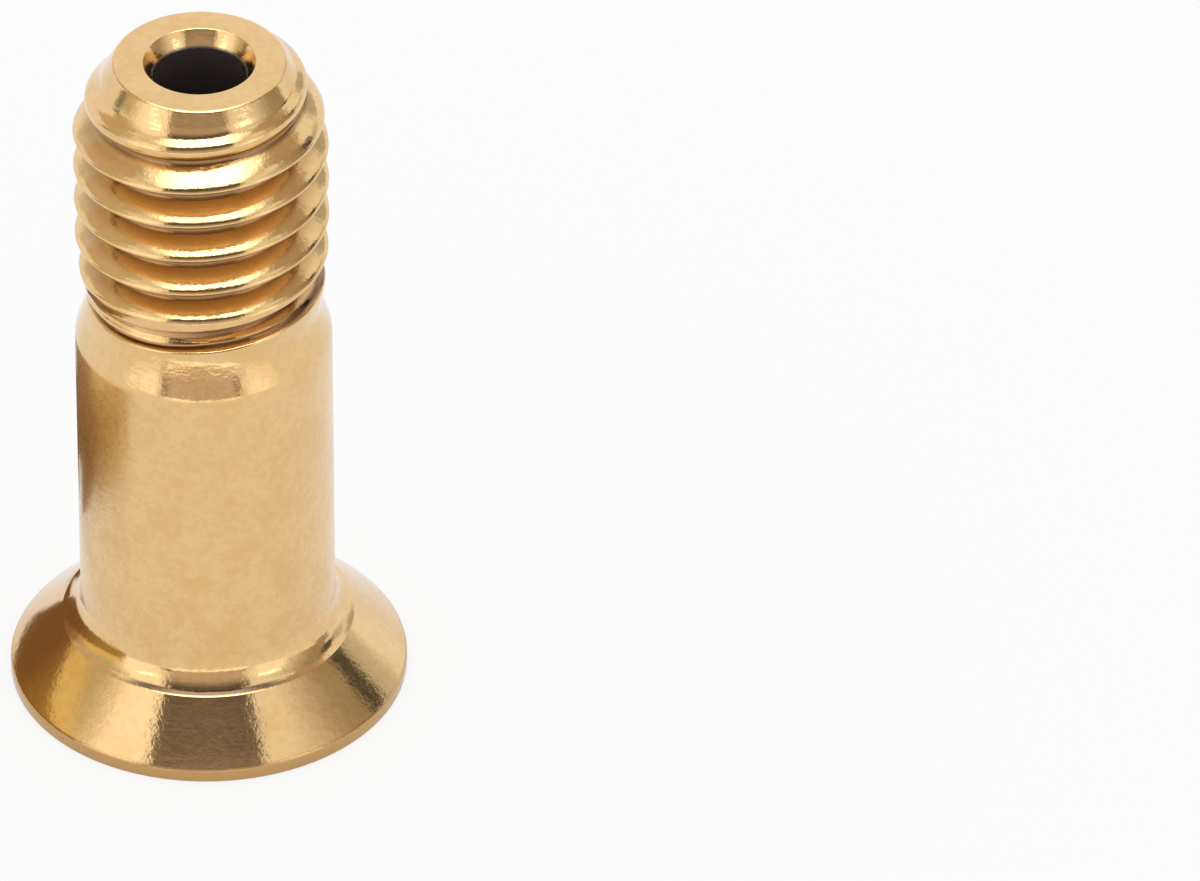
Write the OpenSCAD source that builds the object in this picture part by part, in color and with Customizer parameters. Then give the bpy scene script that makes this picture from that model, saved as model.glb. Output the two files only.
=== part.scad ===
// Derailleur pulley bolt: a hollow, countersunk M5 shoulder screw turned from one bar.
// The head's flat face lies on z = 0, the axis is Z and the threaded end points up.

/* [Overall] */
// Length from the head's flat face to the threaded end
length = 14.5; // [12.5:0.5:20]

/* [Head] */
// Outer diameter of the head
head_d = 7.8; // [7.2:0.1:9]
// Height of the straight land on the rim
rim_h = 0.28; // [0.16:0.02:0.5]
// Chamfer that breaks the rim's two edges
rim_break = 0.05; // [0.02:0.01:0.07]
// Included angle of the conical seat
seat_angle = 90; // [80:1:100]

/* [Shank] */
// Diameter of the smooth bearing surface
shank_d = 5; // [4.8:0.05:5.4]
// Fillet between the seat's upper edge and the shank
fillet_r = 0.7; // [0.5:0.02:0.9]
// Width of that fillet, as seen along the axis
fillet_w = 0.37; // [0.2:0.01:0.38]
// Height of the lead taper above the shank
lead_h = 1.03; // [0.4:0.01:1.6]
// How far the lead taper falls below the shank
lead_drop = 0.3; // [0.2:0.02:0.4]

/* [Neck] */
// Width of the neck between the lead taper and the thread
neck_w = 0.16; // [0.12:0.02:0.5]
// Depth of the neck below the lead taper's end
neck_depth = 0.12; // [0.04:0.02:0.16]
// Width of each of the neck's two sloping sides
neck_side_w = 0.05; // [0.02:0.01:0.05]

/* [Thread] */
// Major diameter of the thread
thread_d = 4.94; // [4.7:0.02:5]
// Pitch of the right-hand thread
pitch = 0.8; // [0.5:0.05:0.9]
// Length from the neck to the threaded end
thread_len = 5.15; // [4:0.05:7]
// Height over which the crests rise to their full diameter
crest_rise = 1.05; // [0.5:0.05:1.6]
// Direction in which the groove runs out below the thread
runout_angle = 20; // [0:5:355]

/* [Threaded end] */
// Height of the end chamfer
end_chamfer_h = 1.3; // [0.6:0.05:1.6]
// Depth of the end chamfer below the thread's crests
end_chamfer_r = 0.8; // [0.5:0.05:0.95]

/* [Bore] */
// Diameter of the through bore
bore_d = 1.8; // [1:0.1:2]
// Width of the chamfer at the bore's upper mouth
mouth_w = 0.19; // [0.1:0.01:0.35]
// Included angle of that chamfer
mouth_angle = 60; // [50:5:90]

/* [Socket] */
// Width across the flats of the hexagon socket
socket_af = 3; // [2.5:0.5:3.5]
// Depth of the hexagon from the head's face
socket_depth = 2.3; // [1.6:0.1:3]
// How much the pilot hole is wider than the flats
pilot_over = 0.06; // [0.02:0.01:0.12]
// How far the pilot hole runs past the hexagon
pilot_past = 0.3; // [0.1:0.05:0.6]
// Width of the countersink beyond the hexagon's corners
countersink_w = 0.33; // [0.1:0.01:0.5]
// Included angle of the countersink
countersink_angle = 120; // [90:5:130]

/* [Hidden] */

// Facets of the round surfaces, and sections of the groove in one turn
$fn = 96;
groove_steps = 48;
// How far a cut runs past the surface that it opens
cut_past = 0.2;
// Half angle of a drill's point
drill_half_angle = 59;

// Radii and heights of the turned profile
head_r = head_d / 2;
shank_r = shank_d / 2;
ledge_r = shank_r + fillet_w;
ledge_z = rim_h + (head_r - ledge_r) / tan(seat_angle / 2);
fillet_z = ledge_z + sqrt(fillet_r ^ 2 - (fillet_r - fillet_w) ^ 2);
thread_r = thread_d / 2;
lead_r = shank_r - lead_drop;
neck_r = lead_r - neck_depth;
neck_top_z = length - thread_len;
neck_z = neck_top_z - neck_w;
shank_top_z = neck_z - lead_h;
end_r = thread_r - end_chamfer_r;

// Sixty-degree thread form: flat crest of an eighth of the pitch
flank_angle = 30;
thread_depth = 0.6134 * pitch;
root_r = thread_r - thread_depth;
root_half_w = pitch * 7 / 16 - thread_depth * tan(flank_angle);

// Groove cutter: it stands a little proud of the crests, and lifts clear at its lower end
cutter_proud = 0.06 * pitch;
cutter_r = thread_r + cutter_proud;
cutter_half_w = pitch * 7 / 16 + cutter_proud * tan(flank_angle);
runout_turns = 0.87;
runout_lift = thread_depth + max(0, shank_r - thread_r) + cut_past;
groove_start_z = neck_z - pitch / 4;
groove_turns = (length + pitch / 2 - groove_start_z) / pitch;
groove_sections = ceil(groove_turns * groove_steps);

// Corners of the groove's section: root below, outside below, outside above, root above
groove_corners = [
    [root_r, -root_half_w],
    [cutter_r, -cutter_half_w],
    [cutter_r, cutter_half_w],
    [root_r, root_half_w]
];

// Socket
corner_r = socket_af / 2 / cos(30);
countersink_r = corner_r + countersink_w;
pilot_r = (socket_af + pilot_over) / 2;
bore_r = bore_d / 2;

// Height that a cone of this half angle climbs over a change of radius
function cone_h(dr, half_angle) = dr / tan(half_angle);

// Half outline of the turned blank, before the socket, bore and thread are cut
module turned_profile() {
    difference() {
        polygon([
            [0, 0],
            [head_r - rim_break, 0],
            [head_r, rim_break],
            [head_r, rim_h - rim_break],
            [head_r - rim_break * tan(seat_angle / 2), rim_h + rim_break],
            [ledge_r, ledge_z],
            [ledge_r, fillet_z],
            [shank_r, fillet_z],
            [shank_r, shank_top_z],
            [lead_r, neck_z],
            [neck_r, neck_z + neck_side_w],
            [neck_r, neck_top_z - neck_side_w],
            [lead_r, neck_top_z],
            [thread_r, neck_top_z + crest_rise],
            [thread_r, length - end_chamfer_h],
            [end_r, length],
            [0, length]
        ]);
        translate([shank_r + fillet_r, fillet_z]) circle(r = fillet_r);
    }
}

// How far section i of the groove is lifted out of the bolt
function lift(i) = runout_lift * max(0, 1 - i / groove_steps / runout_turns);

// The groove's corners at section i, on the screw line
function groove_section(i) =
    let (turn = i / groove_steps)
    let (a = runout_angle + 360 * turn)
    let (z = groove_start_z + pitch * turn)
    [
        for (corner = groove_corners)
            let (r = corner[0] + lift(i))
            [r * cos(a), r * sin(a), z + corner[1]]
    ];

// The helical groove as one solid, swept upwards along its own screw line
module thread_groove() {
    corners = len(groove_corners);
    last = groove_sections * corners;
    points = [for (i = [0 : groove_sections]) each groove_section(i)];
    sides = [
        for (i = [0 : groove_sections - 1], k = [0 : corners - 1])
            let (a = i * corners + k)
            let (b = i * corners + (k + 1) % corners)
            each [[a, b, a + corners], [b, b + corners, a + corners]]
    ];
    start_cap = [for (k = [corners - 1 : -1 : 0]) k];
    end_cap = [for (k = [0 : corners - 1]) last + k];
    polyhedron(points = points, faces = concat(sides, [start_cap, end_cap]), convexity = 12);
}

// Broached hexagon over its pilot hole, opened by a countersink
module hex_socket() {
    pilot_depth = socket_depth + pilot_past;
    countersink_h = cone_h(countersink_r, countersink_angle / 2);
    past_r = cut_past * tan(countersink_angle / 2);
    translate([0, 0, -cut_past])
        cylinder(r = corner_r, h = socket_depth + cut_past, $fn = 6);
    translate([0, 0, -cut_past])
        cylinder(r = pilot_r, h = pilot_depth + cut_past);
    translate([0, 0, pilot_depth])
        cylinder(r1 = pilot_r, r2 = 0, h = cone_h(pilot_r, drill_half_angle));
    translate([0, 0, -cut_past])
        cylinder(r1 = countersink_r + past_r, r2 = 0, h = countersink_h + cut_past);
}

// Bore from the socket to the threaded end, with its chamfered mouth
module through_bore() {
    mouth_h = cone_h(mouth_w, mouth_angle / 2);
    past_r = cut_past * tan(mouth_angle / 2);
    cylinder(r = bore_r, h = length + cut_past);
    translate([0, 0, length - mouth_h])
        cylinder(r1 = bore_r, r2 = bore_r + mouth_w + past_r, h = mouth_h + cut_past);
}

module pulley_bolt() {
    color("goldenrod")
        difference() {
            rotate_extrude() turned_profile();
            thread_groove();
            hex_socket();
            through_bore();
        }
}

pulley_bolt();
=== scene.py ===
"""Looks of a derailleur pulley bolt: one turned, threaded piece in satin gold on a white table."""

import math

import bpy
import numpy as np
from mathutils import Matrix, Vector


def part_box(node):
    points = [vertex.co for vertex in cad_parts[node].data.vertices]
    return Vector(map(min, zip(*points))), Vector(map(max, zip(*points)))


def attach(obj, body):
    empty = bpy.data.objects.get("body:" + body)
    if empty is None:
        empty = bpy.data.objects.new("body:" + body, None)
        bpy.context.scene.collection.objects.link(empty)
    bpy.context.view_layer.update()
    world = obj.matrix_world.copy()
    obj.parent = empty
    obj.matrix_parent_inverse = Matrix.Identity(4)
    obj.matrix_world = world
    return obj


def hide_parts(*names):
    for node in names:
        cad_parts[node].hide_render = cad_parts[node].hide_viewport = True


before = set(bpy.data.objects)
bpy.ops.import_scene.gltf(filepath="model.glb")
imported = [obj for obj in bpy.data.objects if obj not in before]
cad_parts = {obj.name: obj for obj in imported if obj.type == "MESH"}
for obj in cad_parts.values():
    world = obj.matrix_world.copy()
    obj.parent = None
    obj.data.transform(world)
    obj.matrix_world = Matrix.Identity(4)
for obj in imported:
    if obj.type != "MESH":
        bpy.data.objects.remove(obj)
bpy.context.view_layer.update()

NODE = "pulley_bolt"
MM = 0.001
node_low, node_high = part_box(NODE)

# Turned form in millimetres, the same as the solid's
LENGTH = node_high.z / MM
HEAD_R = node_high.x / MM
RIM_H = 0.28
SEAT_SLOPE = 1.0
SHANK_R = 2.5
FILLET_R = 0.7
FILLET_W = 0.37
LEAD_H = 1.03
LEAD_R = 2.2
NECK_W = 0.16
NECK_DEPTH = 0.12
NECK_SIDE_W = 0.05
THREAD_R = 2.47
THREAD_LEN = 5.15
CREST_RISE = 1.05
END_CHAMFER_H = 1.3
END_R = 1.67
BORE_R = 0.9
MOUTH_W = 0.19
MOUTH_HALF_ANGLE = math.radians(30)

LEDGE_R = SHANK_R + FILLET_W
LEDGE_Z = RIM_H + (HEAD_R - LEDGE_R) * SEAT_SLOPE
FILLET_Z = LEDGE_Z + math.sqrt(FILLET_R ** 2 - (FILLET_R - FILLET_W) ** 2)
NECK_TOP_Z = LENGTH - THREAD_LEN
NECK_Z = NECK_TOP_Z - NECK_W
SHANK_TOP_Z = NECK_Z - LEAD_H
LEAD_SLOPE = (SHANK_R - LEAD_R) / LEAD_H
MOUTH_R = BORE_R + MOUTH_W
MOUTH_H = MOUTH_W / math.tan(MOUTH_HALF_ANGLE)

# Right-hand thread of the sixty-degree form, with flat crests of an eighth of the pitch
PITCH = 0.8
CREST_SHARE = 1 / 8
DEPTH_SHARE = 0.6134
FLANK_ANGLE = math.radians(30)
FLANK_RISE = 1 / math.tan(FLANK_ANGLE)
THREAD_DEPTH = DEPTH_SHARE * PITCH
ROOT_R = THREAD_R - THREAD_DEPTH
ROOT_HALF_W = PITCH * (1 - CREST_SHARE) / 2 - THREAD_DEPTH / FLANK_RISE

# The groove starts beside the end of the lead taper, lifted clear of it, and sinks in over most of a turn
GROOVE_START_DEG = 20
GROOVE_START_Z = NECK_Z - PITCH / 4
RUNOUT_TURNS = 0.87
RUNOUT_PAST = 0.2
RUNOUT_LIFT = THREAD_DEPTH + SHANK_R - THREAD_R + RUNOUT_PAST
TURNS = 7

# Hexagon socket, with its countersink, its pilot hole and the point of the drill
SOCKET_AF = 3.0
SOCKET_DEPTH = 2.3
PILOT_R = 1.53
PILOT_DEPTH = 2.6
COUNTERSINK_W = 0.33
COUNTERSINK_R = SOCKET_AF / math.sqrt(3) + COUNTERSINK_W
COUNTERSINK_SLOPE = math.tan(math.radians(60))
DRILL_SLOPE = math.tan(math.radians(59))

# Small roundings that a turned and tumbled part has
EDGE_ROUND = 0.03
LEDGE_ROUND = 0.015
RIM_ROUND = 0.06
RIM_TOP_ROUND = 2 * RIM_ROUND
END_ROUND = 0.08
LEAD_ROUND = 0.6

# Widths over which the thread's edges are eased, and how much is added to its crests for that
CREST_EASE = 0.15
CREST_FILL = 0.015
END_EASE = 0.06
ROOT_EASE = 0.06
NECK_EASE = 0.04

# Lip that the thread's last turn raises on the end chamfer, and the share of it at the groove's edge
LIP_H = 0.115
LIP_EDGE_SHARE = 0.15

# Heights above the groove's edge over which the lip begins, and those of its peak and its end
LIP_BEGINS = (-0.16, -0.06)
LIP_PEAK = 0.2
LIP_TOP = 0.37

# Heights of the groove's edge between which the lip grows, and between which it dies away
LIP_GROWS = (LENGTH - 1.15, LENGTH - 0.8)
LIP_DIES = (LENGTH - 0.6, LENGTH - 0.4)

# How much the lead taper is hollowed, for its drop
LEAD_HOLLOW = 0.2

# The neck climbs with the thread beside it, so it is lower on the left than on the right, where it fills up
NECK_SWAY = 0.2
NECK_FILL = 0.3
NECK_FILL_POWER = 1.5

# The lowest crest is fuller on the right: its radius at one height, and how that grows upwards
FULL_RISE_R = 2.36
FULL_RISE_Z = NECK_Z + 0.05
FULL_RISE_SLOPE = 0.14

# With this many columns around the axis, one falls on each corner of the hexagon
COLUMNS = 234
SIXTH = np.pi / 3

# Steps of a rounding and of the fillet, the longest span between rows, and the least gap
ARC_STEPS = 6
FILLET_STEPS = 8
SPAN = 0.45
ROW_GAP = 0.002

turn = np.arange(COLUMNS) / COLUMNS
angle = np.radians(GROOVE_START_DEG) + 2 * np.pi * turn
sway = NECK_SWAY * np.cos(angle)
rightward = (1 + np.cos(angle)) / 2
neck_fill = NECK_FILL * np.maximum(np.cos(angle), 0) ** NECK_FILL_POWER


def smooth_min(a, b, width):
    """The smaller of two values, with their crossing eased over a width."""
    near = np.maximum(width - np.abs(a - b), 0) / width
    return np.minimum(a, b) - near * near * width / 4


def smooth_max(a, b, width):
    """The larger of two values, with their crossing eased over a width."""
    return -smooth_min(-a, -b, width)


def smooth_step(x, low, high):
    """0 below low, 1 above high, and an eased rise between them."""
    t = np.clip((x - low) / (high - low), 0, 1)
    return t * t * (3 - 2 * t)


def rounded_path(corners):
    """Points along a path of (r, z, rounding) corners, with arcs at the corners and long spans divided."""
    path = [Vector(corners[0][:2])]
    last = len(corners) - 1
    for i in range(1, last + 1):
        here = Vector(corners[i][:2])
        if i == last or corners[i][2] == 0:
            stops = [here]
        else:
            before = (Vector(corners[i - 1][:2]) - here).normalized()
            after = (Vector(corners[i + 1][:2]) - here).normalized()
            half = before.angle(after) / 2
            reach = corners[i][2] / math.tan(half)
            centre = here + (before + after).normalized() * corners[i][2] / math.sin(half)
            first = here + before * reach - centre
            final = here + after * reach - centre
            sweep = first.angle_signed(final)
            stops = []
            for k in range(ARC_STEPS + 1):
                a = -sweep * k / ARC_STEPS
                out = first.x * math.cos(a) - first.y * math.sin(a)
                up = first.x * math.sin(a) + first.y * math.cos(a)
                stops.append(centre + Vector((out, up)))
        start = path[-1]
        run = stops[0] - start
        pieces = max(2, math.ceil(run.length / SPAN))
        path += [start + run * k / pieces for k in range(1, pieces)]
        path += stops
    return path


def rings(path):
    """Rows of one radius and height each, for a path of points."""
    return [(np.full(COLUMNS, p[0]), np.full(COLUMNS, p[1])) for p in path]


def taper_radius(z):
    """Radius of the lead taper, which is hollowed by a hair."""
    t = (z - SHANK_TOP_Z) / LEAD_H
    return SHANK_R - (SHANK_R - LEAD_R) * (t + LEAD_HOLLOW * t * (1 - t))


def end_radius(z):
    """Radius of the end chamfer."""
    return END_R + (LENGTH - z) * (THREAD_R - END_R) / END_CHAMFER_H


def blank_radius(z):
    """Radius of the turned blank from the lead taper to the threaded end, before the groove is cut."""
    lead_end = taper_radius(NECK_Z + sway)
    rise = lead_end + (z - NECK_TOP_Z - sway) * (THREAD_R - LEAD_R) / CREST_RISE
    full_rise = FULL_RISE_R + (z - FULL_RISE_Z) * FULL_RISE_SLOPE
    rise = rise + (full_rise - rise) * rightward
    from_middle = np.abs(z - NECK_Z - NECK_W / 2 - sway)
    from_flat = np.maximum(from_middle - NECK_W / 2 + NECK_SIDE_W, 0)
    neck = lead_end - NECK_DEPTH + from_flat * NECK_DEPTH / NECK_SIDE_W + neck_fill
    hollow = smooth_min(smooth_max(taper_radius(z), rise, NECK_EASE), neck, NECK_EASE)
    crest = smooth_min(hollow, THREAD_R + CREST_FILL, CREST_EASE)
    return smooth_min(crest, end_radius(z), END_EASE)


def groove_radius(u, lift):
    """Radius of the groove at a height u from its middle."""
    flank = ROOT_R + (np.abs(u) - ROOT_HALF_W) * FLANK_RISE
    return smooth_max(flank, ROOT_R, ROOT_EASE) + lift


# How often the search for the groove's edge halves its range
HALVINGS = 40


def groove_corner(middle, lift, side):
    """Height where the groove's upper or lower flank leaves the blank, or its root's edge if it is clear."""
    near = np.full(COLUMNS, ROOT_HALF_W)
    far = np.full(COLUMNS, PITCH / 2)
    cuts = groove_radius(near, lift) < blank_radius(middle + side * near)
    for _ in range(HALVINGS):
        half = (near + far) / 2
        inside = groove_radius(half, lift) < blank_radius(middle + side * half)
        near = np.where(inside, half, near)
        far = np.where(inside, far, half)
    return middle + side * np.where(cuts, near, ROOT_HALF_W)


# Places of the rows between two edges of the thread, closer together beside the edges
CREST_PLACES = (0.05, 0.12, 0.22, 0.36, 0.5, 0.64, 0.78, 0.88, 0.95)
FLANK_PLACES = (0.04, 0.1, 0.22, 0.5, 0.8, 0.93)
ROOT_PLACES = (0.25, 0.5, 0.75)
BELOW_PLACES = (0.0, 0.2, 0.4, 0.6, 0.8)
RIDGE_PLACES = (0.1, 0.3, 0.5, 0.7, 0.9)
ABOVE_PLACES = tuple(k / 10 for k in range(1, 10))

# Heights of the rows across the neck, from its lower edge
NECK_PLACES = (-0.12, -0.07, -0.04, -0.02, 0.0, 0.015, 0.03, 0.045, 0.06,
               0.08, 0.1, 0.115, 0.13, 0.145, 0.16, 0.175, 0.195, 0.22)

# Rows on the edges of one turn of the groove: its own two and its root's two
GROOVE_EDGES = 4

# Places of the rows across the socket's floor, along its wall and across its countersink
FLOOR_PLACES = (0.0, 0.1, 0.5, 0.9, 1.0)
WALL_PLACES = (0.02, 0.05, 0.2, 0.35, 0.5, 0.65, 0.8, 0.95, 0.98, 1.0)
COUNTERSINK_PLACES = (0.06, 0.2, 0.4, 0.6, 0.8, 0.92)

# Heights between which the rows follow the thread
THREAD_FOOT_Z = NECK_Z - 0.57
THREAD_HEAD_Z = LENGTH - 0.06

# Height from which the groove dies out on the end chamfer, and the share of its pitch that it climbs there
DYING_Z = LENGTH - 0.43
DYING_SHARE = 0.42


def thread_rows():
    """Rows of the threaded stretch, which follow the neck and the groove's edges around the axis."""
    heights = []
    grooves = []

    def fill(low, high, places):
        heights.extend(low + (high - low) * p for p in places)

    neck = NECK_Z + sway
    fill(np.full(COLUMNS, THREAD_FOOT_Z), neck + NECK_PLACES[0], BELOW_PLACES)
    heights.extend(neck + place for place in NECK_PLACES)
    edge = neck + NECK_PLACES[-1]
    for k in range(TURNS):
        middle = GROOVE_START_Z + PITCH * (turn + k)
        middle = np.where(middle > DYING_Z, DYING_Z + (middle - DYING_Z) * DYING_SHARE, middle)
        lift = RUNOUT_LIFT * np.maximum(0, 1 - (turn + k) / RUNOUT_TURNS)
        lower = groove_corner(middle, lift, -1)
        upper = groove_corner(middle, lift, 1)
        root_low = middle - ROOT_HALF_W
        root_high = middle + ROOT_HALF_W
        fill(edge, lower, CREST_PLACES if k else RIDGE_PLACES)
        heights.append(lower)
        fill(lower, root_low, FLANK_PLACES)
        heights.append(root_low)
        fill(root_low, root_high, ROOT_PLACES)
        heights.append(root_high)
        fill(root_high, upper, [1 - p for p in reversed(FLANK_PLACES)])
        heights.append(upper)
        grooves.append((middle, lift, upper.copy()))
        edge = upper
    top = np.full(COLUMNS, THREAD_HEAD_Z)
    fill(edge, top, ABOVE_PLACES)
    heights.append(top)
    for below, here in zip(heights, heights[1:]):
        np.maximum(here, below + ROW_GAP, out=here)
    return [(thread_radius(z, grooves), z) for z in heights]


def thread_radius(z, grooves):
    """Radius of the threaded stretch at a height in each column."""
    radius = blank_radius(z)
    for _, _, upper in grooves:
        raised = smooth_step(upper, *LIP_GROWS) * (1 - smooth_step(upper, *LIP_DIES))
        above = z - upper
        fall = 1 - smooth_step(above, LIP_PEAK, LIP_TOP)
        climb = LIP_EDGE_SHARE + (1 - LIP_EDGE_SHARE) * smooth_step(above, 0, LIP_PEAK)
        radius = radius + LIP_H * raised * fall * climb * smooth_step(above, *LIP_BEGINS)
    for middle, lift, _ in grooves:
        radius = smooth_min(radius, groove_radius(z - middle, lift), CREST_EASE)
    return radius


def socket_rows():
    """Rows from the pilot hole across the hexagon's floor, along its wall and across its countersink."""
    from_flat = np.mod(angle, SIXTH) - SIXTH / 2
    wall = np.maximum(SOCKET_AF / 2 / np.cos(from_flat), PILOT_R + ROW_GAP)
    mouth_z = (COUNTERSINK_R - wall) / COUNTERSINK_SLOPE
    floor_z = np.full(COLUMNS, SOCKET_DEPTH)
    floor = [(PILOT_R + (wall - PILOT_R) * p, floor_z) for p in FLOOR_PLACES]
    side = [(wall, floor_z + (mouth_z - floor_z) * p) for p in WALL_PLACES]
    countersink = [(wall + (COUNTERSINK_R - wall) * p, mouth_z * (1 - p)) for p in COUNTERSINK_PLACES]
    return floor + side + countersink


def outside_path():
    """The section from the countersink's edge, around the rim and up to the thread."""
    fillet = []
    ledge_angle = math.acos(1 - FILLET_W / FILLET_R)
    for k in range(1, FILLET_STEPS + 1):
        a = ledge_angle * (1 - k / FILLET_STEPS)
        fillet.append((SHANK_R + FILLET_R * (1 - math.cos(a)), FILLET_Z - FILLET_R * math.sin(a), 0))
    return rounded_path([
        (COUNTERSINK_R, 0, 0),
        (HEAD_R, 0, RIM_ROUND),
        (HEAD_R, RIM_H, RIM_TOP_ROUND),
        (LEDGE_R, LEDGE_Z, LEDGE_ROUND),
        *fillet,
        (SHANK_R, SHANK_TOP_Z, LEAD_ROUND),
        (taper_radius(THREAD_FOOT_Z), THREAD_FOOT_Z, 0),
    ])


def inside_path():
    """The section from the thread's end, across the end face and down the bore to the socket's floor."""
    drill_z = PILOT_DEPTH + (PILOT_R - BORE_R) / DRILL_SLOPE
    return rounded_path([
        (end_radius(THREAD_HEAD_Z), THREAD_HEAD_Z, 0),
        (END_R, LENGTH, END_ROUND),
        (MOUTH_R, LENGTH, EDGE_ROUND),
        (BORE_R, LENGTH - MOUTH_H, EDGE_ROUND),
        (BORE_R, drill_z, EDGE_ROUND),
        (PILOT_R, PILOT_DEPTH, EDGE_ROUND),
        (PILOT_R, SOCKET_DEPTH, 0),
    ])


def bolt_mesh():
    """The bolt's closed skin: rows along its section, up the outside, down the bore and out of the socket."""
    below = rings(outside_path()[:-1])
    thread = thread_rows()
    bore = rings(inside_path()[1:-1])
    socket = socket_rows()
    rows = below + thread + bore + socket
    first = len(below)
    last = first + len(thread) - 1
    radius = np.array([row[0] for row in rows])
    height = np.array([row[1] for row in rows])
    points = np.stack([radius * np.cos(angle), radius * np.sin(angle), height], axis=-1)
    faces = []
    for i in range(len(rows)):
        up = (i + 1) % len(rows)
        wraps = not first <= i < last
        for j in range(COLUMNS if wraps else COLUMNS - 1):
            right = (j + 1) % COLUMNS
            faces.append((i * COLUMNS + j, i * COLUMNS + right, up * COLUMNS + right, up * COLUMNS + j))
    faces += seam_faces(height, first, last)
    mesh = bpy.data.meshes.new("bolt_skin")
    mesh.from_pydata((points * MM).reshape(-1, 3).tolist(), [], faces)
    mesh.update()
    mesh.polygons.foreach_set("use_smooth", [True] * len(mesh.polygons))
    keep_corners_sharp(mesh, len(rows) - len(socket))
    return mesh


# How near to a corner of the hexagon a column lies that counts as on it, in radians
CORNER_REACH = 1e-6


def keep_corners_sharp(mesh, first_row):
    """Keeps the shading crisp along the hexagon's six corners, in the rows from the first one on."""
    from_corner = np.abs(np.mod(angle + SIXTH / 2, SIXTH) - SIXTH / 2)
    ends = np.array([edge.vertices for edge in mesh.edges])
    row, column = np.divmod(ends, COLUMNS)
    upright = column[:, 0] == column[:, 1]
    on_corner = from_corner[column[:, 0]] < CORNER_REACH
    in_socket = row.min(axis=1) >= first_row
    mesh.edges.foreach_set("use_edge_sharp", upright & on_corner & in_socket)


def seam_faces(height, first, last):
    """Faces where the groove's last column meets the first one, a turn of the groove higher."""
    groove_rows = 2 * len(FLANK_PLACES) + len(ROOT_PLACES) + GROOVE_EDGES
    step = groove_rows + len(CREST_PLACES)
    start = first + len(BELOW_PLACES) + len(NECK_PLACES) + len(RIDGE_PLACES)
    stop = last - 1 - len(ABOVE_PLACES)
    left = [(i, COLUMNS - 1) for i in range(first, last + 1)]
    right = [(i, 0) for i in range(first, last + 1)]
    lower = zipped(left[:start - first + 1], right[:start - first + step + 1], height)
    upper = zipped(left[stop - first - step:], right[stop - first:], height)
    middle = []
    for i in range(start, stop - step):
        a = i * COLUMNS + COLUMNS - 1
        b = (i + step) * COLUMNS
        middle.append((a, b, b + COLUMNS, a + COLUMNS))
    return lower + middle + upper


def zipped(left, right, height):
    """Triangles between two upward chains of (row, column) vertices."""
    def index(place):
        return place[0] * COLUMNS + place[1]

    faces = []
    i = 0
    j = 0
    while i < len(left) - 1 or j < len(right) - 1:
        go_left = j == len(right) - 1
        if not go_left and i < len(left) - 1:
            go_left = height[left[i + 1]] < height[right[j + 1]]
        if go_left:
            faces.append((index(left[i]), index(right[j]), index(left[i + 1])))
            i += 1
        else:
            faces.append((index(left[i]), index(right[j]), index(right[j + 1])))
            j += 1
    return faces


class Nodes:
    """Short calls for making and joining the nodes of one material."""

    def __init__(self, tree):
        self.tree = tree
        tree.nodes.clear()

    def add(self, kind, settings=None, **inputs):
        """A node with its settings, and with values or other nodes' outputs on its named sockets."""
        node = self.tree.nodes.new(kind)
        for key, value in (settings or {}).items():
            setattr(node, key, value)
        for key, value in inputs.items():
            self.feed(node.inputs[key.replace("_", " ")], value)
        return node

    def feed(self, socket, value):
        """Puts a value or another node's output on a socket."""
        if isinstance(value, bpy.types.NodeSocket):
            self.tree.links.new(value, socket)
        else:
            socket.default_value = value

    def math(self, operation, *values):
        """A Math node's result."""
        node = self.add("ShaderNodeMath", {"operation": operation})
        for socket, value in zip(node.inputs, values):
            self.feed(socket, value)
        return node.outputs[0]

    def length(self, vector):
        """A vector's length."""
        node = self.add("ShaderNodeVectorMath", {"operation": "LENGTH"})
        self.feed(node.inputs[0], vector)
        return node.outputs["Value"]

    def ramp(self, value, low, high, to_low, to_high):
        """A value moved from one range to another, and kept inside it."""
        node = self.add("ShaderNodeMapRange", {"interpolation_type": "SMOOTHSTEP"}, Value=value, From_Min=low,
                        From_Max=high, To_Min=to_low, To_Max=to_high)
        return node.outputs["Result"]

    def rises(self, value, span):
        """0 below a span in millimetres, 1 above it, and an eased rise across it."""
        return self.ramp(value, span[0] * MM, span[1] * MM, 0.0, 1.0)

    def falls(self, value, span):
        """1 below a span in millimetres, 0 above it, and an eased fall across it."""
        return self.ramp(value, span[0] * MM, span[1] * MM, 1.0, 0.0)

    def within(self, value, begins, ends):
        """1 between two spans in millimetres, and 0 on either side of them."""
        return self.math("MULTIPLY", self.rises(value, begins), self.falls(value, ends))

    def near(self, value, middle, reach):
        """1 about a middle, falling to 0 over a span of distances from it, in millimetres."""
        away = self.math("ABSOLUTE", self.math("SUBTRACT", value, middle * MM))
        return self.falls(away, reach)

    def noise(self, vector, size, detail=2.0, roughness=0.5):
        """Values of a noise texture about 0.5, for a size in millimetres."""
        node = self.add("ShaderNodeTexNoise", Vector=vector, Scale=1 / (size * MM), Detail=detail,
                        Roughness=roughness)
        return node.outputs["Fac"]

    def blend(self, factor, a, b):
        """A colour between two colours."""
        node = self.add("ShaderNodeMix", {"data_type": "RGBA"})
        self.feed(node.inputs["Factor"], factor)
        self.feed(node.inputs[6], a)
        self.feed(node.inputs[7], b)
        return node.outputs[2]


# Colours of the metal, of the painted shade in its groove, root, neck, rim and a line over the ledge, and of
# the dull bore
GOLD_PALE = (0.82, 0.55, 0.25, 1)
GOLD_DEEP = (0.76, 0.49, 0.20, 1)
GOLD_PAINTED_SHADE = (0.56, 0.325, 0.115, 1)
GOLD_PAINTED_DEEP_SHADE = (0.32, 0.17, 0.06, 1)
GOLD_PAINTED_NECK_SHADE = (0.24, 0.11, 0.04, 1)
GOLD_PAINTED_RIM_SHADE = (0.56, 0.335, 0.125, 1)
GOLD_PAINTED_LEDGE_SHADE = (0.12, 0.065, 0.03, 1)
BORE_DULL = (0.07, 0.055, 0.055, 1)

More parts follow.
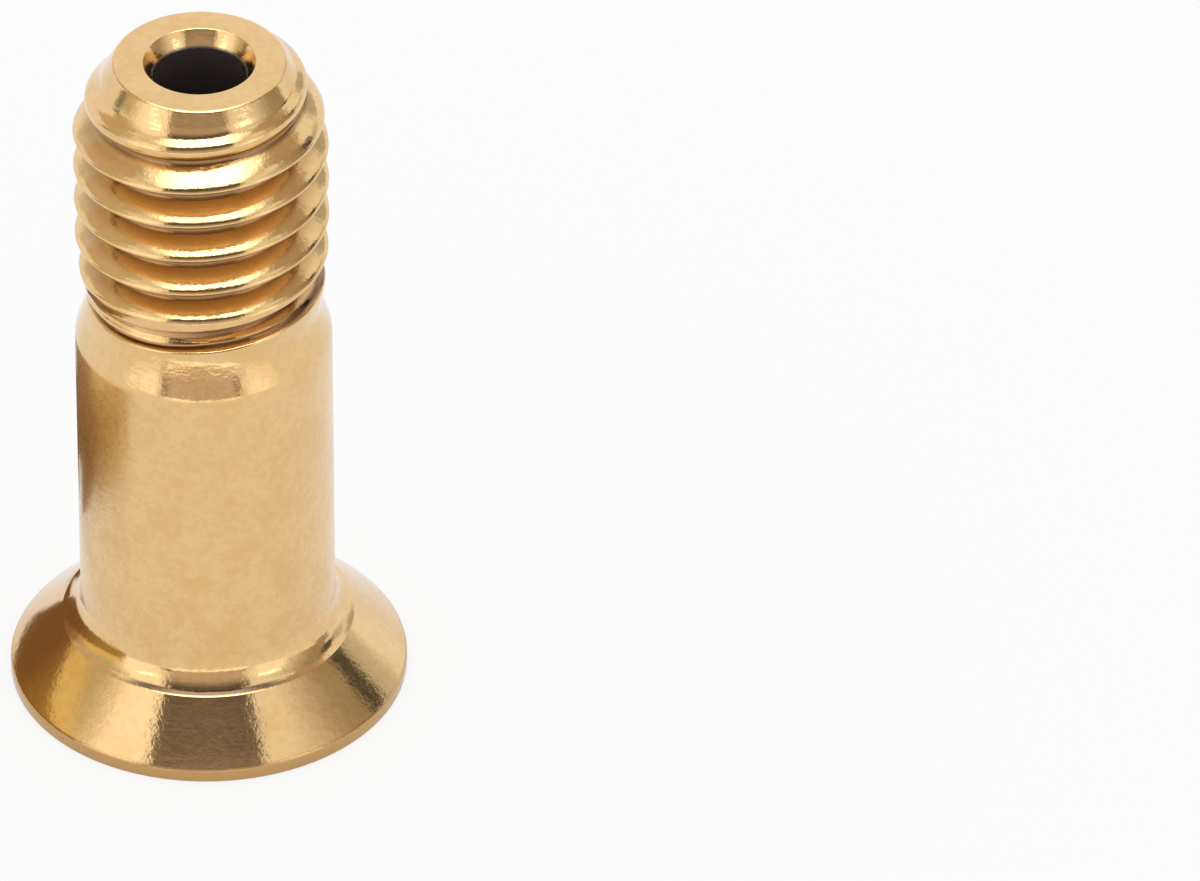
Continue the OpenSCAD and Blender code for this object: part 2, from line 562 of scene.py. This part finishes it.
# Sizes of the lathe's rings, the grain, the mottling and the patches, and how much the rings drift
RING_SIZE = 0.05
GRAIN_SIZE = 0.07
MOTTLE_SIZE = 0.16
PATCH_SIZE = 0.8
RING_DRIFT = 0.03

# Spans of noise that the colour and roughness follow, the roughness they give, and the bore's metallic share
TINT_NOISE = (0.75, 1.25)
ROUGH_NOISE = (0.7, 1.3)
ROUGH_PLAIN = (0.08, 0.14)
ROUGH_SHANK = (0.24, 0.34)
BORE_METALLIC = 0.2

# Heights over which the finish of the shank and the painted shade of the thread and neck begin and end
SHANK_BEGINS = (FILLET_Z - 0.05, FILLET_Z + 0.1)
SHANK_ENDS = (SHANK_TOP_Z - 0.03, SHANK_TOP_Z + 0.08)
THREAD_BEGINS = (NECK_TOP_Z + 0.3, NECK_TOP_Z + 0.65)
GROOVE_ENDS = (LENGTH - 1.35, LENGTH - 1.1)
ROOT_ENDS = (LENGTH - 0.8, LENGTH - 0.6)
NECK_BEGINS = (SHANK_TOP_Z + 0.5, SHANK_TOP_Z + 0.6)
NECK_ENDS = (NECK_TOP_Z + 0.25, NECK_TOP_Z + 0.45)

# Radii over which the painted shade of the groove, its root and the rim, and the bore's dull colour, change
GROOVE_EDGE = (ROOT_R + 0.12, THREAD_R - 0.1)
ROOT_EDGE = (ROOT_R + 0.02, ROOT_R + 0.13)
RIM_EDGE = (HEAD_R - 0.06, HEAD_R - 0.01)
BORE_EDGE = (BORE_R + 0.005, BORE_R + 0.04)

# The neck's painted shade: the radius below which it starts, how it grows with depth, and its reach from the
# middle
NECK_SHADE_R = LEAD_R - 0.03
NECK_SHADE_DEPTH = (0.0, 0.06)
NECK_SHADE_REACH = (0.03, 0.08)

# Painted shade along the ridge over the neck and in a line over the ledge: their heights and reach
RIDGE_ABOVE_NECK = NECK_W + 0.03
RIDGE_REACH = (0.025, 0.065)
LEDGE_LINE_Z = LEDGE_Z + 0.045
LEDGE_LINE_REACH = (0.02, 0.045)
LEDGE_LINE_ENDS_Y = (-2.6, -2.25)


def thread_painted_shade(nodes, colour, x, z, radius):
    """Painted shade in the thread's groove and root, along the ridge over the neck, and in the neck."""
    # Painted shade: the groove is darkened towards its root, in place of the shade down in the thread
    on_groove = nodes.within(z, THREAD_BEGINS, GROOVE_ENDS)
    in_groove = nodes.math("MULTIPLY", nodes.falls(radius, GROOVE_EDGE), on_groove)
    colour = nodes.blend(in_groove, colour, GOLD_PAINTED_SHADE)
    # Painted shade: a deeper dark along the groove's root, in place of the shadow under each crest
    on_root = nodes.within(z, THREAD_BEGINS, ROOT_ENDS)
    in_root = nodes.math("MULTIPLY", nodes.falls(radius, ROOT_EDGE), on_root)
    colour = nodes.blend(in_root, colour, GOLD_PAINTED_DEEP_SHADE)

    climb = nodes.math("DIVIDE", nodes.math("MULTIPLY", x, NECK_SWAY * MM), radius)
    above_neck = nodes.math("SUBTRACT", nodes.math("SUBTRACT", z, climb), NECK_Z * MM)
    # Painted shade: a dark line along the ridge over the neck
    on_ridge = nodes.near(above_neck, RIDGE_ABOVE_NECK, RIDGE_REACH)
    colour = nodes.blend(on_ridge, colour, GOLD_PAINTED_SHADE)

    # Painted shade: the neck is darkened, in place of the shade in its narrow groove
    end_of_taper = nodes.math("MULTIPLY", x, -LEAD_SLOPE * NECK_SWAY / LEAD_R)
    tint_r = nodes.math("ADD", end_of_taper, NECK_SHADE_R * MM)
    sunk = nodes.rises(nodes.math("SUBTRACT", tint_r, radius), NECK_SHADE_DEPTH)
    sunk = nodes.math("MULTIPLY", sunk, nodes.within(z, NECK_BEGINS, NECK_ENDS))
    in_neck = nodes.math("MAXIMUM", sunk, nodes.near(above_neck, NECK_W / 2, NECK_SHADE_REACH))
    return nodes.blend(in_neck, colour, GOLD_PAINTED_NECK_SHADE)


def head_painted_shade(nodes, colour, y, z, radius):
    """Painted shade on the rim, and a painted dark line over the ledge on the camera's side."""
    # Painted shade: the rim is darkened all round, in place of the shadowed table that it mirrors
    colour = nodes.blend(nodes.rises(radius, RIM_EDGE), colour, GOLD_PAINTED_RIM_SHADE)
    # Painted shade: a dark line over the ledge, only on the camera's side
    on_line = nodes.near(z, LEDGE_LINE_Z, LEDGE_LINE_REACH)
    facing = nodes.falls(y, LEDGE_LINE_ENDS_Y)
    return nodes.blend(nodes.math("MULTIPLY", on_line, facing), colour, GOLD_PAINTED_LEDGE_SHADE)


def gold_material():
    """Satin gold with fine rings from the lathe, a fine grain, and painted shade down in the thread, on the
    rim and over the ledge.
    """
    material = bpy.data.materials.new("gold_metal")
    material.use_nodes = True
    nodes = Nodes(material.node_tree)
    place = nodes.add("ShaderNodeTexCoord").outputs["Object"]
    x, y, z = nodes.add("ShaderNodeSeparateXYZ", Vector=place).outputs
    radius = nodes.length(nodes.add("ShaderNodeCombineXYZ", X=x, Y=y).outputs[0])
    drift = nodes.math("MULTIPLY", x, RING_DRIFT)
    lathe_place = nodes.add("ShaderNodeCombineXYZ", X=radius, Y=z, Z=drift).outputs[0]
    rings_fine = nodes.noise(lathe_place, RING_SIZE, 3.0)
    grain = nodes.noise(place, GRAIN_SIZE, 3.0, 0.6)
    mottled = nodes.noise(place, MOTTLE_SIZE)
    patches = nodes.noise(place, PATCH_SIZE, 3.0)

    tint = nodes.ramp(nodes.math("ADD", patches, mottled), *TINT_NOISE, 0.0, 1.0)
    colour = nodes.blend(tint, GOLD_PALE, GOLD_DEEP)
    colour = thread_painted_shade(nodes, colour, x, z, radius)
    colour = head_painted_shade(nodes, colour, y, z, radius)
    in_bore = nodes.falls(radius, BORE_EDGE)
    colour = nodes.blend(in_bore, colour, BORE_DULL)
    metallic = nodes.ramp(in_bore, 0.0, 1.0, 1.0, BORE_METALLIC)

    uneven = nodes.math("ADD", patches, grain)
    rough_plain = nodes.ramp(uneven, *ROUGH_NOISE, *ROUGH_PLAIN)
    rough_shank = nodes.ramp(uneven, *ROUGH_NOISE, *ROUGH_SHANK)
    apart = nodes.math("SUBTRACT", rough_shank, rough_plain)
    on_shank = nodes.within(z, SHANK_BEGINS, SHANK_ENDS)
    rough = nodes.math("ADD", rough_plain, nodes.math("MULTIPLY", apart, on_shank))

    ring_bump = nodes.add("ShaderNodeBump", Strength=0.25, Distance=0.004 * MM, Height=rings_fine)
    mottled_bump = nodes.add("ShaderNodeBump", Strength=1.0, Distance=0.0035 * MM, Height=mottled,
                             Normal=ring_bump.outputs[0])
    grain_bump = nodes.add("ShaderNodeBump", Strength=0.4, Distance=0.006 * MM, Height=grain,
                           Normal=mottled_bump.outputs[0])
    shader = nodes.add("ShaderNodeBsdfPrincipled", Base_Color=colour, Metallic=metallic, Roughness=rough,
                       Normal=grain_bump.outputs[0], Coat_Weight=0.6, Coat_Roughness=0.1)
    nodes.add("ShaderNodeOutputMaterial", Surface=shader.outputs[0])
    return material


def add_object(name, mesh, material):
    """A new object in the scene with one material."""
    mesh.materials.append(material)
    made = bpy.data.objects.new(name, mesh)
    bpy.context.scene.collection.objects.link(made)
    return made


WHITE = (1, 1, 1, 1)

# The table: its half width in metres, its paint, and the share of glow to the camera and in the metal
FLOOR_HALF = 1.5
FLOOR_PAINT = (0.92, 0.92, 0.92, 1)
FLOOR_GLOW = 0.8
FLOOR_GLOW_IN_METAL = 0.3


def floor_material():
    """A table that looks white to the camera and greyer in the metal, and keeps a soft shadow."""
    material = bpy.data.materials.new("white_table")
    material.use_nodes = True
    nodes = Nodes(material.node_tree)
    path = nodes.add("ShaderNodeLightPath").outputs
    straight_share = nodes.math("MULTIPLY", path["Is Camera Ray"], FLOOR_GLOW)
    glossy_share = nodes.math("MULTIPLY", path["Is Glossy Ray"], FLOOR_GLOW_IN_METAL)
    share = nodes.math("MAXIMUM", straight_share, glossy_share)
    paint = nodes.add("ShaderNodeBsdfDiffuse", Color=FLOOR_PAINT)
    glow = nodes.add("ShaderNodeEmission", Color=WHITE, Strength=1.0)
    mix = nodes.add("ShaderNodeMixShader")
    nodes.feed(mix.inputs[0], share)
    nodes.feed(mix.inputs[1], paint.outputs[0])
    nodes.feed(mix.inputs[2], glow.outputs[0])
    nodes.add("ShaderNodeOutputMaterial", Surface=mix.outputs[0])
    return material


def add_floor():
    """The table that the bolt stands on."""
    mesh = bpy.data.meshes.new("table")
    corners = [(-FLOOR_HALF, -FLOOR_HALF, 0), (FLOOR_HALF, -FLOOR_HALF, 0),
               (FLOOR_HALF, FLOOR_HALF, 0), (-FLOOR_HALF, FLOOR_HALF, 0)]
    mesh.from_pydata(corners, [], [(0, 1, 2, 3)])
    table = add_object("table", mesh, floor_material())
    table.location.z = node_low.z


def grey(level):
    """A neutral colour."""
    return (level, level, level)


def card_material(name, first_colour, last_colour, axis, start, stop):
    """A card whose colour changes from one to another between two places along one axis of its box."""
    material = bpy.data.materials.new(name)
    material.use_nodes = True
    nodes = Nodes(material.node_tree)
    place = nodes.add("ShaderNodeTexCoord").outputs["Generated"]
    along = nodes.add("ShaderNodeSeparateXYZ", Vector=place).outputs[axis]
    share = nodes.ramp(along, start, stop, 0.0, 1.0)
    colour = nodes.blend(share, (*first_colour, 1), (*last_colour, 1))
    glow = nodes.add("ShaderNodeEmission", Color=colour, Strength=1.0)
    nodes.add("ShaderNodeOutputMaterial", Surface=glow.outputs[0])
    return material


def only_in_metal(card):
    """Hides a card from the camera and from the table."""
    card.visible_camera = False
    card.visible_diffuse = False
    card.visible_shadow = False


# Studio cards: name, azimuth, elevation, width, height, distance, colours at the back and front, and start
CARDS = (
    ("left_box", 50, 23.6, 14, 4, 60, grey(3)),
    ("right_box", -50, 23.6, 14, 4, 60, grey(3)),
    ("left_panel", 52, 20, 30, 62, 65, grey(1.3)),
    ("right_panel", -50, 6, 26, 36, 65, grey(1.22)),
    ("left_shade", 84, 26, 36, 40, 300, (0.64, 0.6, 0.45), grey(1.25), 0.35),
    ("right_shade", -82, 26, 46, 40, 300, (0.42, 0.36, 0.28), grey(0.95), 0.25),
    ("left_edge", 143, 22, 18, 16, 300, grey(0.72)),
    ("right_edge", -143, 22, 18, 16, 300, grey(0.55)),
    ("left_dim", 122, 42, 36, 36, 300, (0.68, 0.58, 0.47)),
    ("right_dim", -104, 53, 24, 20, 280, (0.52, 0.43, 0.33)),
    ("left_low_seam", 100, 6, 9, 14, 280, grey(0.3)),
    ("right_low_seam", -103, 4, 13, 12, 280, (0.4, 0.36, 0.33)),
    ("right_seam", -109, 24, 10, 16, 280, grey(0.08), grey(0.1)),
    ("right_back", -121, 16, 14, 14, 300, grey(0.72), grey(0.62)),
)


def add_card(name, azimuth, elevation, width, height, distance, back_colour, front_colour=None, start=0.0):
    """A studio card that only the metal sees, turned to the bolt's middle.

    Azimuth is in degrees from the camera's side, to its left. Width and height are angles in degrees too, as
    seen from the bolt, and distance is in millimetres. The card keeps its back colour over the share of its
    width that start gives, and then changes to the front colour, if it has one.
    """
    front_colour = front_colour or back_colour
    reach = distance * MM
    half_w = reach * math.tan(math.radians(width / 2))
    half_h = reach * math.tan(math.radians(height / 2))
    corners = [(-half_w, -half_h, 0), (half_w, -half_h, 0), (half_w, half_h, 0), (-half_w, half_h, 0)]
    mesh = bpy.data.meshes.new(name)
    mesh.from_pydata(corners, [], [(0, 1, 2, 3)])
    if azimuth > 0:
        material = card_material(name, back_colour, front_colour, "X", start, 1.0)
    else:
        material = card_material(name, front_colour, back_colour, "X", 0.0, 1.0 - start)
    card = add_object(name, mesh, material)
    a = math.radians(azimuth)
    e = math.radians(elevation)
    away = Vector((-math.sin(a) * math.cos(e), -math.cos(a) * math.cos(e), math.sin(e)))
    card.location = Vector((0, 0, LENGTH * MM / 2)) + away * reach
    card.rotation_euler = away.to_track_quat("Z", "Y").to_euler()
    only_in_metal(card)


def add_wall(name, feet, low, high, material, last_low=None):
    """An upright wall that only the metal sees, along (x, y) feet and between two heights in millimetres."""
    lows = [low] * len(feet)
    if last_low is not None:
        lows[-1] = last_low
    points = [Vector((x, y, z)) * MM for (x, y), z in zip(feet, lows)]
    points += [Vector((x, y, high)) * MM for x, y in feet]
    count = len(feet)
    faces = [(i, i + 1, i + 1 + count, i + count) for i in range(count - 1)]
    mesh = bpy.data.meshes.new(name)
    mesh.from_pydata(points, [], faces)
    only_in_metal(add_object(name, mesh, material))


def add_sheet(name, corners, material):
    """A flat sheet that only the metal sees, with four corners in millimetres."""
    mesh = bpy.data.meshes.new(name)
    mesh.from_pydata([Vector(corner) * MM for corner in corners], [], [(0, 1, 2, 3)])
    only_in_metal(add_object(name, mesh, material))


# The light above the bolt: its height, half depth and two sides, in millimetres
TOP_Z = 300
TOP_HALF_Y = 140
TOP_LEFT_X = -187
TOP_RIGHT_X = 165

# Its levels in the middle and at its sides, and the share of each half over which it fades
TOP_LEVEL = 4
TOP_SIDE_LEVEL = 0.7
TOP_FADE = 0.75


def add_top_half(name, low_x, high_x, material):
    """One half of the light overhead."""
    corners = [(low_x, -TOP_HALF_Y, TOP_Z), (high_x, -TOP_HALF_Y, TOP_Z),
               (high_x, TOP_HALF_Y, TOP_Z), (low_x, TOP_HALF_Y, TOP_Z)]
    add_sheet(name, corners, material)


def add_top_light():
    """Two halves of the light overhead, which fade towards their outer sides."""
    bright = grey(TOP_LEVEL)
    dim = grey(TOP_SIDE_LEVEL)
    left = card_material("top_left", dim, bright, "X", 0.0, TOP_FADE)
    right = card_material("top_right", bright, dim, "X", 1 - TOP_FADE, 1.0)
    add_top_half("top_left", TOP_LEFT_X, 0, left)
    add_top_half("top_right", 0, TOP_RIGHT_X, right)


# Plan of the brown walls at the bolt's left, from the camera's side to the back, and their heights
BROWN_FEET = ((-9.5, -4.8), (-8.5, -0.4), (-7.5, 2.0), (-5.2, 4.1))
REAR_FEET = ((-4.3, 5), (-2.2, 10))
BROWN_LOW_Z = 0.5
BROWN_MIDDLE_Z = 3
BROWN_TOP_Z = 4.6
GAP_LOW_Z = 1.2

# Their colours at the front and back, and the shares of their depth between which these change
BROWN_LOW_FRONT = (0.44, 0.3, 0.1)
BROWN_LOW_BACK = (0.22, 0.12, 0.05)
BROWN_LOW_CHANGE = (0.3, 0.87)
BROWN_HIGH_FRONT = (0.86, 0.7, 0.37)
BROWN_HIGH_BACK = (0.31, 0.165, 0.095)
BROWN_HIGH_CHANGE = (0.57, 0.87)
BROWN_REAR = (0.2, 0.12, 0.07)


def add_brown_walls():
    """A brown wall and a golden one over it, both darker towards the back, and two dark walls behind them."""
    lower = card_material("brown_low", BROWN_LOW_FRONT, BROWN_LOW_BACK, "Y", *BROWN_LOW_CHANGE)
    upper = card_material("brown_high", BROWN_HIGH_FRONT, BROWN_HIGH_BACK, "Y", *BROWN_HIGH_CHANGE)
    rear = card_material("brown_rear", BROWN_REAR, BROWN_REAR, "Y", 0.0, 1.0)
    add_wall("brown_low", BROWN_FEET, BROWN_LOW_Z, BROWN_MIDDLE_Z, lower, last_low=0)
    add_wall("brown_high", BROWN_FEET, BROWN_MIDDLE_Z, BROWN_TOP_Z, upper)
    add_wall("brown_gap", (BROWN_FEET[-1], REAR_FEET[0]), GAP_LOW_Z, BROWN_TOP_Z, rear)
    add_wall("brown_rear", REAR_FEET, 0, BROWN_MIDDLE_Z, rear)


# The dim sheet on the camera's side, which leans towards the bolt: its sides, foot and top, in millimetres
CAMERA_LEFT_X = -30
CAMERA_RIGHT_X = 27.5
CAMERA_FOOT_Y = -60
CAMERA_TOP_Y = -29.2
CAMERA_TOP_Z = 72.4

# Its colours below and above, and the shares of its height between which they change
CAMERA_SIDE_LOW = (0.65, 0.57, 0.53)
CAMERA_SIDE_HIGH = (0.12, 0.105, 0.11)
CAMERA_SIDE_CHANGE = (0.3, 0.8)

# The wall before its foot, and the pale strip nearer to the bolt
FOOT_LEFT_X = -40
FOOT_RIGHT_X = 35
FOOT_Y = CAMERA_FOOT_Y + 2
FOOT_TOP_Z = 12
STRIP_HALF_W = 24
STRIP_Y = -40
STRIP_TOP_Z = 3.7
STRIP_LEVEL = 1.6


def add_camera_side():
    """The dim space about the camera, darker above, with a pale strip low before it."""
    corners = [(CAMERA_RIGHT_X, CAMERA_FOOT_Y, 0), (CAMERA_LEFT_X, CAMERA_FOOT_Y, 0),
               (CAMERA_LEFT_X, CAMERA_TOP_Y, CAMERA_TOP_Z), (CAMERA_RIGHT_X, CAMERA_TOP_Y, CAMERA_TOP_Z)]
    dim = card_material("camera_side", CAMERA_SIDE_LOW, CAMERA_SIDE_HIGH, "Z", *CAMERA_SIDE_CHANGE)
    add_sheet("camera_side", corners, dim)
    add_wall("camera_foot", ((FOOT_RIGHT_X, FOOT_Y), (FOOT_LEFT_X, FOOT_Y)), 0, FOOT_TOP_Z, dim)
    pale = card_material("camera_strip", grey(STRIP_LEVEL), grey(STRIP_LEVEL), "Z", 0.0, 1.0)
    add_wall("camera_strip", ((STRIP_HALF_W, STRIP_Y), (-STRIP_HALF_W, STRIP_Y)), 0, STRIP_TOP_Z, pale)


# The camera's frame in pixels of the photograph, and the place of the head's centre in it
IMAGE_W = 1200
IMAGE_H = 881
FOCAL_PX = 18000
HEAD_PX_X = 209.17
HEAD_PX_Y = 661.53
CAMERA_PITCH = math.radians(36.646)
CAMERA_DEPTH = 354.32 * MM
SENSOR_MM = 36


def add_camera():
    """The camera at the photograph's viewing angle."""
    data = bpy.data.cameras.new("camera")
    data.sensor_width = SENSOR_MM
    data.lens = FOCAL_PX / IMAGE_W * SENSOR_MM
    camera = bpy.data.objects.new("camera", data)
    bpy.context.scene.collection.objects.link(camera)
    ahead = Vector((0, math.cos(CAMERA_PITCH), -math.sin(CAMERA_PITCH)))
    up = Vector((0, math.sin(CAMERA_PITCH), math.cos(CAMERA_PITCH)))
    aside = (HEAD_PX_X - IMAGE_W / 2) * CAMERA_DEPTH / FOCAL_PX
    below = (HEAD_PX_Y - IMAGE_H / 2) * CAMERA_DEPTH / FOCAL_PX
    camera.location = up * below - ahead * CAMERA_DEPTH - Vector((aside, 0, 0))
    camera.rotation_euler = (math.pi / 2 - CAMERA_PITCH, 0, 0)
    bpy.context.scene.camera = camera


def add_world():
    """Plain white surroundings, as in a light tent."""
    world = bpy.data.worlds.new("white_tent")
    world.use_nodes = True
    nodes = Nodes(world.node_tree)
    white = nodes.add("ShaderNodeBackground", Color=WHITE, Strength=1.0)
    nodes.add("ShaderNodeOutputWorld", Surface=white.outputs[0])
    bpy.context.scene.world = world


bolt = add_object("bolt", bolt_mesh(), gold_material())
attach(bolt, "root")
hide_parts(NODE)

add_floor()
add_world()
add_camera()
add_camera_side()
add_brown_walls()
add_top_light()
for card in CARDS:
    add_card(*card)

bpy.context.scene.view_settings.view_transform = "Standard"
